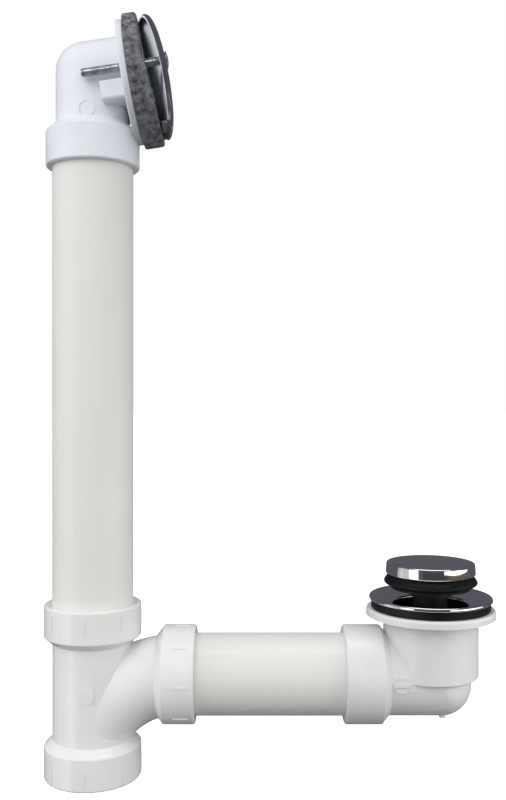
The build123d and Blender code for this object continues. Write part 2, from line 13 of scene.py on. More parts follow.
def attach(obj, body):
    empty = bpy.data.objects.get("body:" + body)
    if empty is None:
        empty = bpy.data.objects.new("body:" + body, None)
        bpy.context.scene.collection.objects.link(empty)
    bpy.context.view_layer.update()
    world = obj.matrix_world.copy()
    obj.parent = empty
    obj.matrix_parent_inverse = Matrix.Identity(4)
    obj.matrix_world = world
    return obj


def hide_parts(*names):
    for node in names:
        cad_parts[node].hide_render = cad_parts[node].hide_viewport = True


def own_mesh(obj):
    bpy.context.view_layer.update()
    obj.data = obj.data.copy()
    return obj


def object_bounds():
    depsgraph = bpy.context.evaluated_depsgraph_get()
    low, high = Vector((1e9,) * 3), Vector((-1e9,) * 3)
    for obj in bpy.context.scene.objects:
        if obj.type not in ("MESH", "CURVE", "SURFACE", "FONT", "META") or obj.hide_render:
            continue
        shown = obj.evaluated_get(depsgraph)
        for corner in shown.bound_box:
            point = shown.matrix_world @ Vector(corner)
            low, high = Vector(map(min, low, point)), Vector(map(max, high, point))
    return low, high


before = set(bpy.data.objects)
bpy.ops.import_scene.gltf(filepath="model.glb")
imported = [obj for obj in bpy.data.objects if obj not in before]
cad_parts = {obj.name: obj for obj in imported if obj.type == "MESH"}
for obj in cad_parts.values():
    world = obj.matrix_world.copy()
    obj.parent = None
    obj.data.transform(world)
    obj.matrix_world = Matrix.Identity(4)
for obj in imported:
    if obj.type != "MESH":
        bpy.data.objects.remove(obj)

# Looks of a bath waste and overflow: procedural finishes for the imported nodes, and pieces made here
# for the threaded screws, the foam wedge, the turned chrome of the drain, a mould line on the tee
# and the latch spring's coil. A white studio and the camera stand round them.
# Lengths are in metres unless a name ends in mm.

CAD_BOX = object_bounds()
LOG = logging.getLogger("bath_waste")

Point = tuple[float, float, float]
Colour = tuple[float, float, float, float]
Faces = list[tuple[int, ...]]

MM_PER_M = 1000.0
DRAIN_X_MM = 203.7
DRAIN_X = DRAIN_X_MM / MM_PER_M
SET_MIDDLE = (0.09, 0.0, 0.22)
CAP_EDGE = (DRAIN_X, 0.0, 0.127)
WHITE = "FFFFFF"


class Body(Enum):
    """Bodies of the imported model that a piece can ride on."""

    PLUMBING = "plumbing"
    STOPPER = "stopper"


class Slot(Enum):
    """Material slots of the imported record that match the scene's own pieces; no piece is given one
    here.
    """

    TEE = "tee_pvc"
    FOAM = "foam_rubber"
    CHROME = "chrome"
    ZINC = "zinc_steel"
    SPRING = "spring_steel"


class Along(Enum):
    """Direction in which a tube was drawn out of its die."""

    X = (1.0, 0.0, 0.0)
    Z = (0.0, 0.0, 1.0)


def linear(code: str) -> Colour:
    """Turns an sRGB hex colour into linear RGBA, by the curve of the sRGB standard.

    Args:
        code: Six hex digits, without a mark in front.

    Returns:
        Red, green, blue and an alpha of 1.
    """
    levels = [int(code[i : i + 2], 16) / 255 for i in (0, 2, 4)]
    red, green, blue = [
        v / 12.92 if v <= 0.04045 else ((v + 0.055) / 1.055) ** 2.4 for v in levels
    ]
    return red, green, blue, 1.0


def per_metre(feature_mm: float) -> float:
    """Texture scale at which a pattern repeats about every feature_mm."""
    return MM_PER_M / feature_mm


def put(
    tree: bpy.types.NodeTree,
    kind: str,
    inputs: dict[str | int, Any] | None = None,
    **settings: Any,
) -> bpy.types.Node:
    """Adds a node with its settings and links.

    Args:
        tree: Node tree that takes the node.
        kind: Blender's type name of the node.
        inputs: Values by input name or number; a socket is linked, anything else is set.
        settings: Properties of the node itself.

    Returns:
        The new node.
    """
    node = tree.nodes.new(kind)
    for name, value in settings.items():
        setattr(node, name, value)
    for key, value in (inputs or {}).items():
        if isinstance(value, bpy.types.NodeSocket):
            tree.links.new(value, node.inputs[key])
        else:
            node.inputs[key].default_value = value
    return node


# Sockets of a Mix node by number, because those for numbers and for colours share their names.
MIX_BY, NUMBER_A, NUMBER_B, COLOUR_A, COLOUR_B = 0, 2, 3, 6, 7
MIXED_NUMBER, MIXED_COLOUR = 0, 2
# Noise seldom leaves these limits, so they are stretched to the ends of each pattern's range.
NOISE_LOW, NOISE_HIGH = 0.32, 0.68
NOISE_DETAIL = 3.0
PVC_IOR = 1.53


@dataclass(frozen=True)
class Finish:
    """A surface finish that makes one procedural material."""

    name: str

    def material(self) -> bpy.types.Material:
        """Makes the material.

        Returns:
            A material with one Principled shader that takes what paint() gives.
        """
        made = bpy.data.materials.new(self.name)
        made.use_nodes = True
        tree = made.node_tree
        tree.nodes.clear()
        shader = put(tree, "ShaderNodeBsdfPrincipled", self.paint(tree))
        put(tree, "ShaderNodeOutputMaterial", {"Surface": shader.outputs["BSDF"]})
        return made

    def paint(self, tree: bpy.types.NodeTree) -> dict[str, Any]:
        """Adds the finish's own nodes.

        Args:
            tree: Tree that takes the nodes.

        Returns:
            Values and sockets for the Principled shader, by the names of its inputs.
        """
        raise NotImplementedError

    def place(
        self, tree: bpy.types.NodeTree, scale: Point = (1.0, 1.0, 1.0)
    ) -> bpy.types.NodeSocket:
        """Object coordinates, in metres, stretched by a scale on each axis."""
        where = put(tree, "ShaderNodeTexCoord").outputs["Object"]
        return put(tree, "ShaderNodeMapping", {"Vector": where, "Scale": scale}).outputs[0]

    def cloud(
        self,
        tree: bpy.types.NodeTree,
        where: bpy.types.NodeSocket,
        feature_mm: float,
        low: float = 0.0,
        high: float = 1.0,
    ) -> bpy.types.NodeSocket:
        """Noise of a real size, spread between two values.

        Args:
            tree: Tree that takes the nodes.
            where: Coordinates for the noise.
            feature_mm: Size of the patches in millimetres.
            low: Value in the hollows.
            high: Value on the crests.

        Returns:
            The socket with the value.
        """
        spots = put(
            tree,
            "ShaderNodeTexNoise",
            {"Vector": where, "Scale": per_metre(feature_mm), "Detail": NOISE_DETAIL},
        )
        limits = {"From Min": NOISE_LOW, "From Max": NOISE_HIGH, "To Min": low, "To Max": high}
        return put(tree, "ShaderNodeMapRange", {"Value": spots.outputs[0], **limits}).outputs[0]


@dataclass(frozen=True)
class MouldedPvc(Finish):
    """Rigid PVC, injection moulded: half glossy, with faint flow clouds and orange peel."""

    light: str
    shade: str
    rough: float
    rough_swing: float = 0.04
    cloud_mm: float = 26.0
    dull_mm: float = 13.0
    peel_mm: float = 1.6
    peel_depth_mm: float = 0.012

    def paint(self, tree: bpy.types.NodeTree) -> dict[str, Any]:
        """Flow clouds in the white, a gloss with clouds of its own and a fine peel.

        Args:
            tree: Tree that takes the nodes.

        Returns:
            Values and sockets for the Principled shader.
        """
        where = self.place(tree)
        flow = self.cloud(tree, where, self.cloud_mm)
        white = {MIX_BY: flow, COLOUR_A: linear(self.shade), COLOUR_B: linear(self.light)}
        low, high = self.rough - self.rough_swing, self.rough + self.rough_swing
        peel = self.cloud(tree, where, self.peel_mm)
        bump = {"Height": peel, "Distance": self.peel_depth_mm / MM_PER_M}
        return {
            "Base Color": put(tree, "ShaderNodeMix", white, data_type="RGBA").outputs[MIXED_COLOUR],
            "Roughness": self.cloud(tree, where, self.dull_mm, low, high),
            "IOR": PVC_IOR,
            "Normal": put(tree, "ShaderNodeBump", bump).outputs[0],
        }


@dataclass(frozen=True)
class ExtrudedPvc(Finish):
    """PVC pipe, drawn through a die: duller than mouldings, with fine lines along its length."""

    light: str
    shade: str
    along: Along
    rough: tuple[float, float] = (0.4, 0.52)
    line_mm: float = 2.2
    line_stretch: float = 60.0
    line_depth_mm: float = 0.003
    dull_mm: float = 4.4
    cloud_mm: float = 40.0

    def paint(self, tree: bpy.types.NodeTree) -> dict[str, Any]:
        """Die lines along the pipe over slow clouds in the white.

        Args:
            tree: Tree that takes the nodes.

        Returns:
            Values and sockets for the Principled shader.
        """
        drawn = tuple(1.0 / self.line_stretch if run else 1.0 for run in self.along.value)
        along = self.place(tree, drawn)
        lines = self.cloud(tree, along, self.line_mm)
        slow = self.cloud(tree, self.place(tree), self.cloud_mm)
        both = put(tree, "ShaderNodeMath", {0: lines, 1: slow}, operation="MULTIPLY").outputs[0]
        white = {MIX_BY: both, COLOUR_A: linear(self.light), COLOUR_B: linear(self.shade)}
        bump = {"Height": lines, "Distance": self.line_depth_mm / MM_PER_M}
        return {
            "Base Color": put(tree, "ShaderNodeMix", white, data_type="RGBA").outputs[MIXED_COLOUR],
            "Roughness": self.cloud(tree, along, self.dull_mm, *self.rough),
            "IOR": PVC_IOR,
            "Normal": put(tree, "ShaderNodeBump", bump).outputs[0],
        }


@dataclass(frozen=True)
class ClosedCellFoam(Finish):
    """Closed-cell rubber foam, cut from a block: dull mottled grey with open cells on its faces."""

    light: str
    shade: str
    dark: str
    rough: float = 0.92
    specular: float = 0.25
    patch_mm: float = 3.6
    cell_mm: float = 0.9
    cell_depth_mm: float = 0.16
    pore_share: tuple[float, float] = (0.1, 0.55)
    pore_patch_mm: float = 1.2
    pore_painted_shade: float = 0.75

    def paint(self, tree: bpy.types.NodeTree) -> dict[str, Any]:
        """Grey patches, painted shade in the pores and a pitted relief.

        Args:
            tree: Tree that takes the nodes.

        Returns:
            Values and sockets for the Principled shader.
        """
        where = self.place(tree)
        patch = self.cloud(tree, where, self.patch_mm)
        grey = {MIX_BY: patch, COLOUR_A: linear(self.shade), COLOUR_B: linear(self.light)}
        base = put(tree, "ShaderNodeMix", grey, data_type="RGBA").outputs[MIXED_COLOUR]
        grid = {"Vector": where, "Scale": per_metre(self.cell_mm)}
        cells = put(tree, "ShaderNodeTexVoronoi", grid).outputs["Distance"]
        inner, outer = self.pore_share
        fade = {"Value": cells, "From Min": inner, "From Max": outer, "To Min": 1.0, "To Max": 0.0}
        # The pores are darkened with painted shade, just where the relief pits the surface.
        pore_shade_mask = {
            0: put(tree, "ShaderNodeMapRange", fade).outputs[0],
            1: self.cloud(tree, where, self.pore_patch_mm, 0.0, self.pore_painted_shade),
        }
        dark = put(tree, "ShaderNodeMath", pore_shade_mask, operation="MULTIPLY").outputs[0]
        tone = {MIX_BY: dark, COLOUR_A: base, COLOUR_B: linear(self.dark)}
        bump = {"Height": cells, "Distance": self.cell_depth_mm / MM_PER_M}
        return {
            "Base Color": put(tree, "ShaderNodeMix", tone, data_type="RGBA").outputs[MIXED_COLOUR],
            "Roughness": self.rough,
            "Specular IOR Level": self.specular,
            "Normal": put(tree, "ShaderNodeBump", bump).outputs[0],
        }


@dataclass(frozen=True)
class MouldedBlack(Finish):
    """Black rubber or plastic, moulded: near black with a soft bloom and a faint grain."""

    black: str
    bloom: str
    rough: tuple[float, float] = (0.42, 0.6)
    ior: float = 1.52
    specular: float = 0.3
    bloom_mm: float = 5.0
    grain_mm: float = 0.5
    grain_depth_mm: float = 0.012

    def paint(self, tree: bpy.types.NodeTree) -> dict[str, Any]:
        """Grey bloom over black, and grain.

        Args:
            tree: Tree that takes the nodes.

        Returns:
            Values and sockets for the Principled shader.
        """
        where = self.place(tree)
        bloom = self.cloud(tree, where, self.bloom_mm)
        tone = {MIX_BY: bloom, COLOUR_A: linear(self.black), COLOUR_B: linear(self.bloom)}
        grain = self.cloud(tree, where, self.grain_mm)
        bump = {"Height": grain, "Distance": self.grain_depth_mm / MM_PER_M}
        return {
            "Base Color": put(tree, "ShaderNodeMix", tone, data_type="RGBA").outputs[MIXED_COLOUR],
            "Roughness": self.cloud(tree, where, self.bloom_mm, *self.rough),
            "IOR": self.ior,
            "Specular IOR Level": self.specular,
            "Normal": put(tree, "ShaderNodeBump", bump).outputs[0],
        }


@dataclass(frozen=True)
class BareMetal(Finish):
    """A metal surface with handling smears in its gloss and a faint unevenness from its making."""

    light: str
    shade: str
    smooth: float
    smeared: float
    smear_mm: float
    wave_mm: float
    wave_depth_mm: float
    metallic: float = 1.0

    def paint(self, tree: bpy.types.NodeTree) -> dict[str, Any]:
        """Smears that dull the gloss and shift the colour, over a slight wave.

        Args:
            tree: Tree that takes the nodes.

        Returns:
            Values and sockets for the Principled shader.
        """
        where = self.place(tree)
        smear = self.cloud(tree, where, self.smear_mm)
        tone = {MIX_BY: smear, COLOUR_A: linear(self.light), COLOUR_B: linear(self.shade)}
        gloss = {"Value": smear, "To Min": self.smooth, "To Max": self.smeared}
        wave = self.cloud(tree, where, self.wave_mm)
        bump = {"Height": wave, "Distance": self.wave_depth_mm / MM_PER_M}
        return {
            "Base Color": put(tree, "ShaderNodeMix", tone, data_type="RGBA").outputs[MIXED_COLOUR],
            "Metallic": self.metallic,
            "Roughness": put(tree, "ShaderNodeMapRange", gloss).outputs[0],
            "Normal": put(tree, "ShaderNodeBump", bump).outputs[0],
        }


@dataclass(frozen=True)
class PressedPlate(BareMetal):
    """Chromed sheet, pressed: satin on the face, which looks along the axis, and dull behind."""

    back: str = "C8CED4"
    back_rough: float = 0.5
    axis: Point = (0.9508, 0.2079, 0.23)
    back_starts: float = -0.5
    back_full: float = -0.8

    def paint(self, tree: bpy.types.NodeTree) -> dict[str, Any]:
        """Metal on the face, and dull grey where the surface looks back along the axis.

        Args:
            tree: Tree that takes the nodes.

        Returns:
            Values and sockets for the Principled shader.
        """
        face = super().paint(tree)
        facing = {0: put(tree, "ShaderNodeNewGeometry").outputs["Normal"], 1: self.axis}
        side = put(tree, "ShaderNodeVectorMath", facing, operation="DOT_PRODUCT").outputs["Value"]
        turned = {"Value": side, "From Min": self.back_starts, "From Max": self.back_full}
        inner = put(tree, "ShaderNodeMapRange", turned).outputs[0]
        tone = {MIX_BY: inner, COLOUR_A: face["Base Color"], COLOUR_B: linear(self.back)}
        dull = {MIX_BY: inner, NUMBER_A: face["Roughness"], NUMBER_B: self.back_rough}
        metal = {"Value": inner, "To Min": self.metallic, "To Max": 0.0}
        return face | {
            "Base Color": put(tree, "ShaderNodeMix", tone, data_type="RGBA").outputs[MIXED_COLOUR],
            "Roughness": put(tree, "ShaderNodeMix", dull).outputs[MIXED_NUMBER],
            "Metallic": put(tree, "ShaderNodeMapRange", metal).outputs[0],
        }


@dataclass(frozen=True)
class MattPaint(Finish):
    """Matt floor paint with a glow of its own, which keeps the floor as pale as the background."""

    colour: str
    glow: float
    rough: float = 0.9

    def paint(self, tree: bpy.types.NodeTree) -> dict[str, Any]:
        """An even colour and an even white glow, which add no nodes.

        Args:
            tree: Tree that could take nodes.

        Returns:
            Values for the Principled shader.
        """
        return {
            "Base Color": linear(self.colour),
            "Roughness": self.rough,
            "Emission Color": linear(WHITE),
            "Emission Strength": self.glow,
        }


# PVC from a polished mould is smooth, with soft highlights. The elbow and the shoe are one PVC, given
# two whites as painted light and shade: each is set lighter or darker to how brightly that fitting is
# lit. The tee has its own white.
ELBOW_PVC = MouldedPvc("moulded_cool_white_pvc_painted_light", light="E6E9F0", shade="E0E3EA", rough=0.34)
SHOE_PVC = MouldedPvc("moulded_grey_white_pvc_painted_shade", light="DEDEE0", shade="D8D8DA", rough=0.34)
TEE_PVC = MouldedPvc("moulded_white_pvc", light="E9E9E8", shade="E3E3E2", rough=0.2)
# PVC from a die is a warmer white, with a dull gloss that is drawn out along the pipe. Its lines
# are set wider than real ones, so that they show.
RISER_PVC = ExtrudedPvc("extruded_pvc_riser", light="E2E2DF", shade="DEDEDA", along=Along.Z)
CROSS_PVC = ExtrudedPvc("extruded_pvc_cross_tube", light="DDDDDA", shade="D9D9D6", along=Along.X)
# Foam cut from a block has no gloss, and its uneven density mottles the grey. Its open cells are pits
# in the relief, each darkened with painted shade.
# The cells are drawn coarser than real ones, so that they show.
FOAM = ClosedCellFoam("cut_closed_cell_foam", light="87888C", shade="3D3E41", dark="232424")
# Rubber from a mould is near black, and its bloom breaks the soft highlight.
RUBBER = MouldedBlack("moulded_black_rubber", black="060607", bloom="101012")
# Acetal from a mould is a waxy black with less grain than rubber.
ACETAL = MouldedBlack(
    "moulded_black_acetal", black="101011", bloom="1C1C1E", bloom_mm=4.0, grain_depth_mm=0.004
)
# Chrome plate over brass is polished to a mirror, so it shows the studio, broken by finger smears.
CHROME = BareMetal(
    "polished_chrome_plate",
    light="F1F1F4",
    shade="E8E8EC",
    smooth=0.03,
    smeared=0.1,
    smear_mm=9.0,
    wave_mm=16.0,
    wave_depth_mm=0.008,
)
# The faceplate is plated over pressed sheet with less polish than the drain, so it shows no sharp
# picture of the studio; its back takes little of the plating and stays dull.
PLATE_CHROME = PressedPlate(
    "chromed_pressed_sheet",
    light="CCCBD4",
    shade="C2C1CA",
    smooth=0.24,
    smeared=0.32,
    smear_mm=9.0,
    wave_mm=16.0,
    wave_depth_mm=0.008,
)
# Zinc plate on rolled steel is bright but cloudy, with a blue cast and grey patches of dull film.
ZINC = BareMetal(
    "zinc_plated_steel",
    light="C9CBCF",
    shade="8F929A",
    smooth=0.14,
    smeared=0.32,
    smear_mm=5.0,
    wave_mm=0.7,
    wave_depth_mm=0.006,
    metallic=0.75,
)
# Turned brass keeps a warm satin from the tool, browned where it has been handled.
BRASS = BareMetal(
    "turned_brass",
    light="D6B365",
    shade="B08B43",
    smooth=0.2,
    smeared=0.36,
    smear_mm=3.0,
    wave_mm=0.4,
    wave_depth_mm=0.004,
)
# Near-black brown brass is painted shade in the strainer's bore and under the seal, so both hide in
# the shadow with a brown cast.
SHADE_DARK_BRASS = BareMetal(
    "brass_painted_shade",
    light="3A3229",
    shade="241F1A",
    smooth=0.3,
    smeared=0.45,
    smear_mm=3.0,
    wave_mm=0.4,
    wave_depth_mm=0.004,
)
# Drawn stainless wire is grey and satin along the wire.
SPRING_STEEL = BareMetal(
    "drawn_spring_steel",
    light="B9BBBE",
    shade="8E9094",
    smooth=0.18,
    smeared=0.3,
    smear_mm=1.2,
    wave_mm=0.3,
    wave_depth_mm=0.003,
)
# Matt paint throws no picture of the object back at the camera.
FLOOR_PAINT = MattPaint("matt_floor_paint", colour="F4F4F3", glow=0.6)


@dataclass
class Dressing:
    """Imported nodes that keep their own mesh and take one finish."""

    nodes: tuple[str, ...]
    finish: Finish

    def dress(self) -> None:
        """Gives every node of the group the finish."""
        paint = self.finish.material()
        for name in self.nodes:
            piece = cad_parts[name]
            if not piece.material_slots:
                piece.data.materials.append(paint)
            for held in piece.material_slots:
                held.material = paint


def new_piece(
    name: str, mesh: bpy.types.Mesh, finish: Finish, body: Body, smooth: bool = True
) -> bpy.types.Object:
    """Links a mesh into the scene as a piece of the object.

    Args:
        name: Name of the piece.
        mesh: Its mesh, in the row frame.
        finish: Finish that it wears.
        body: Body that it rides on.
        smooth: Whether light runs smoothly over its facets.

    Returns:
        The piece.
    """
    piece = bpy.data.objects.new(name, mesh)
    bpy.context.scene.collection.objects.link(piece)
    mesh.materials.clear()
    mesh.materials.append(finish.material())
    mesh.polygons.foreach_set("use_smooth", [smooth] * len(mesh.polygons))
    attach(piece, body.value)
    return piece


def skin(rings: list[list[Vector]], looped: bool = False) -> tuple[list[Vector], Faces]:
    """Skins closed rings of points into a closed surface.

    Args:
        rings: Rings with the same number of points, from one end to the other.
        looped: Whether the last ring joins the first, as round a washer.

    Returns:
        Points and faces, with a flat cap at each end unless the rings are looped.
    """
    count = len(rings[0])
    points = [point for ring in rings for point in ring]
    faces: Faces = []
    for row in range(len(rings) if looped else len(rings) - 1):
        low, high = row * count, (row + 1) % len(rings) * count
        for k in range(count):
            after = (k + 1) % count
            faces.append((low + k, low + after, high + after, high + k))
    if not looped:
        faces.append(tuple(reversed(range(count))))
        faces.append(tuple(range(len(points) - count, len(points))))
    return points, faces


def within(value: float) -> float:
    """The value, kept between 0 and 1."""
    return max(0.0, min(1.0, value))


@dataclass
class FaceplateScrews:
    """The two oval-head machine screws, with rolled threads and a cross recess in each head."""

    node: str = "faceplate_screws"
    tilt_deg: float = 8.8
    major_mm: float = 5.4
    pitch_mm: float = 1.058
    thread_depth_mm: float = 0.55
    flank_steepness: float = 1.25
    crest_share: float = 0.12
    point_mm: float = 0.9
    point_taper: float = 0.75
    head_mm: float = 9.8
    cone_mm: float = 1.2
    brim_mm: float = 0.3
    crown_mm: float = 0.9
    recess_mm: float = 5.2
    recess_width_mm: float = 1.1
    recess_depth_mm: float = 1.5
    recess_wall_mm: float = 0.25
    recess_slope: float = 2.2
    around: int = 48
    rows_per_turn: int = 10
    head_rows: int = 22

    def axis(self) -> Vector:
        """Direction from tip to head, square to the elbow's flange."""
        tilt = math.radians(self.tilt_deg)
        return Vector((math.cos(tilt), 0.0, math.sin(tilt)))

    def place(self, side: int) -> tuple[Matrix, float]:
        """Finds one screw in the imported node.

        Args:
            side: -1 for the screw towards -Y, +1 for the other.

        Returns:
            The matrix that stands a screw on its tip there, and its length from tip to crown in mm.
        """
        along = self.axis()
        across = Vector((0.0, 1.0, 0.0))
        up = along.cross(across)
        spots = [v.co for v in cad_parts[self.node].data.vertices if v.co.y * side > 0]
        reach = [spot.dot(along) for spot in spots]
        tip = along * min(reach)
        for line in (across, up):
            spread = [spot.dot(line) for spot in spots]
            tip = tip + line * (0.5 * (min(spread) + max(spread)))
        turn = Matrix((across, up, along)).transposed().to_4x4()
        return Matrix.Translation(tip) @ turn, (max(reach) - min(reach)) * MM_PER_M

    def ring(self, z_mm: float, radius_mm: Callable[[float], float]) -> list[Vector]:
        """A ring of points round the screw.

        Args:
            z_mm: Height above the tip.
            radius_mm: Radius at an angle round the screw.

        Returns:
            The points, in metres.
        """
        points = []
        for k in range(self.around):
            angle = math.tau * k / self.around
            r = radius_mm(angle) / MM_PER_M
            points.append(Vector((r * math.cos(angle), r * math.sin(angle), z_mm / MM_PER_M)))
        return points

    def thread_radius(self, z_mm: float, angle: float) -> float:
        """Radius of the thread, drawn in at the screw's point.

        Args:
            z_mm: Height above the tip.
            angle: Angle round the screw.

        Returns:
            The radius in mm.
        """
        phase = (z_mm / self.pitch_mm - angle / math.tau) % 1.0
        flank = abs(2.0 * phase - 1.0)
        groove = within(self.flank_steepness * flank - self.crest_share)
        full = self.major_mm / 2 - self.thread_depth_mm * groove
        return min(full, self.major_mm / 2 - self.point_taper * max(0.0, self.point_mm - z_mm))

    def recess(self, x_mm: float, y_mm: float) -> float:
        """Depth of the cross recess at a place on the head.

        Args:
            x_mm: Distance from the axis along one arm.
            y_mm: Distance from the axis along the other arm.

        Returns:
            The depth in mm, 0 outside the recess.
        """
        far, near = max(abs(x_mm), abs(y_mm)), min(abs(x_mm), abs(y_mm))
        arm = (self.recess_mm / 2 - far) / (self.recess_mm / 2)
        wall = (self.recess_width_mm / 2 - near) / self.recess_wall_mm
        return self.recess_depth_mm * within(self.recess_slope * arm) * within(wall + 0.5)

    def screw(self, length_mm: float) -> tuple[list[Vector], Faces]:
        """One screw along +Z from its tip.

        Args:
            length_mm: Length from tip to crown.

        Returns:
            Points and faces.
        """
        crown_z = length_mm - self.crown_mm
        brim_z = crown_z - self.brim_mm
        cone_z = brim_z - self.cone_mm
        rows = math.ceil(cone_z / self.pitch_mm * self.rows_per_turn)
        rings = []
        for row in range(rows + 1):
            z = cone_z * row / rows
            rings.append(self.ring(z, lambda angle, z=z: self.thread_radius(z, angle)))
        for z in (brim_z, crown_z):
            rings.append(self.ring(z, lambda angle: self.head_mm / 2))
        for row in range(1, self.head_rows):
            share = 1.0 - row / self.head_rows
            radius = self.head_mm / 2 * share
            z = length_mm - self.crown_mm * share**2
            ring = self.ring(z, lambda angle, radius=radius: radius)
            for point in ring:
                point.z -= self.recess(point.x * MM_PER_M, point.y * MM_PER_M) / MM_PER_M
            rings.append(ring)
        return skin(rings)

    def build(self) -> bpy.types.Object:
        """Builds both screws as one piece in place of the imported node.

        Returns:
            The piece.
        """
        points: list[Vector] = []
        faces: Faces = []
        for side in (-1, 1):
            stand, length_mm = self.place(side)
            own, own_faces = self.screw(length_mm)
            start = len(points)
            points += [stand @ point for point in own]
            faces += [tuple(start + k for k in face) for face in own_faces]
        mesh = bpy.data.meshes.new("faceplate_screws_threaded")
        mesh.from_pydata(points, [], faces)
        mesh.update()
        piece = new_piece("faceplate_screws_threaded", mesh, ZINC, Body.PLUMBING)
        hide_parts(self.node)
        return piece


@dataclass(frozen=True)
class Corner:
    """A corner of a turned outline: radius from the axis, height and rounding, all in mm."""

    radius: float
    height: float
    rounding: float = 0.0

    def spot(self) -> Vector:
        """Radius and height of the corner."""
        return Vector((self.radius, self.height))


@dataclass
class Turned:
    """A round piece of the drain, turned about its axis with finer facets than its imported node."""

    name: str
    node: str
    body: Body
    finish: Finish = CHROME
    slot: Slot = Slot.CHROME
    hollow: bool = False
    axis_x_mm: float = DRAIN_X_MM
    around: int = 256
    arc_steps: int = 8

    def outline(self) -> tuple[Corner, ...]:
        """Corners of the section on one side of the axis, in order."""
        raise NotImplementedError

    def rounded(self) -> list[tuple[float, float]]:
        """Outline with its roundings drawn as arcs.

        Returns:
            Radii and heights in mm, in order.
        """
        path: list[tuple[float, float]] = []
        corners = self.outline()
        for k, corner in enumerate(corners):
            here = corner.spot()
            if corner.rounding == 0.0:
                path.append((here.x, here.y))
                continue
            back = (corners[k - 1].spot() - here).normalized()
            ahead = (corners[(k + 1) % len(corners)].spot() - here).normalized()
            half = 0.5 * back.angle(ahead)
            centre = here + (back + ahead).normalized() * corner.rounding / math.sin(half)
            start = here + back * corner.rounding / math.tan(half) - centre
            end = here + ahead * corner.rounding / math.tan(half) - centre
            for step in range(self.arc_steps + 1):
                spoke = start.slerp(end, step / self.arc_steps)
                path.append((centre.x + spoke.x, centre.y + spoke.y))
        return path

    def ring(self, radius_mm: float, height_mm: float, around: int) -> list[Vector]:
        """A ring of points round the drain's axis.

        Args:
            radius_mm: Radius of the ring.
            height_mm: Its height above the frame's origin.
            around: Number of points.

        Returns:
            The points, in metres.
        """
        points = []
        for k in range(around):
            angle = math.tau * k / around
            x = self.axis_x_mm + radius_mm * math.cos(angle)
            points.append(Vector((x, radius_mm * math.sin(angle), height_mm)) / MM_PER_M)
        return points

    def build(self) -> bpy.types.Object:
        """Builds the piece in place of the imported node.

        Returns:
            The piece.
        """
        rings = [self.ring(radius, height, self.around) for radius, height in self.rounded()]
        points, faces = skin(rings, looped=self.hollow)
        mesh = bpy.data.meshes.new(self.name)
        mesh.from_pydata(points, [], faces)
        mesh.update()
        self.finish_mesh(mesh)
        piece = new_piece(self.name, mesh, self.finish, self.body)
        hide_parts(self.node)
        return piece

    def finish_mesh(self, mesh: bpy.types.Mesh) -> None:
        """Adds what can't be turned to the mesh; a plain turned piece has nothing more."""


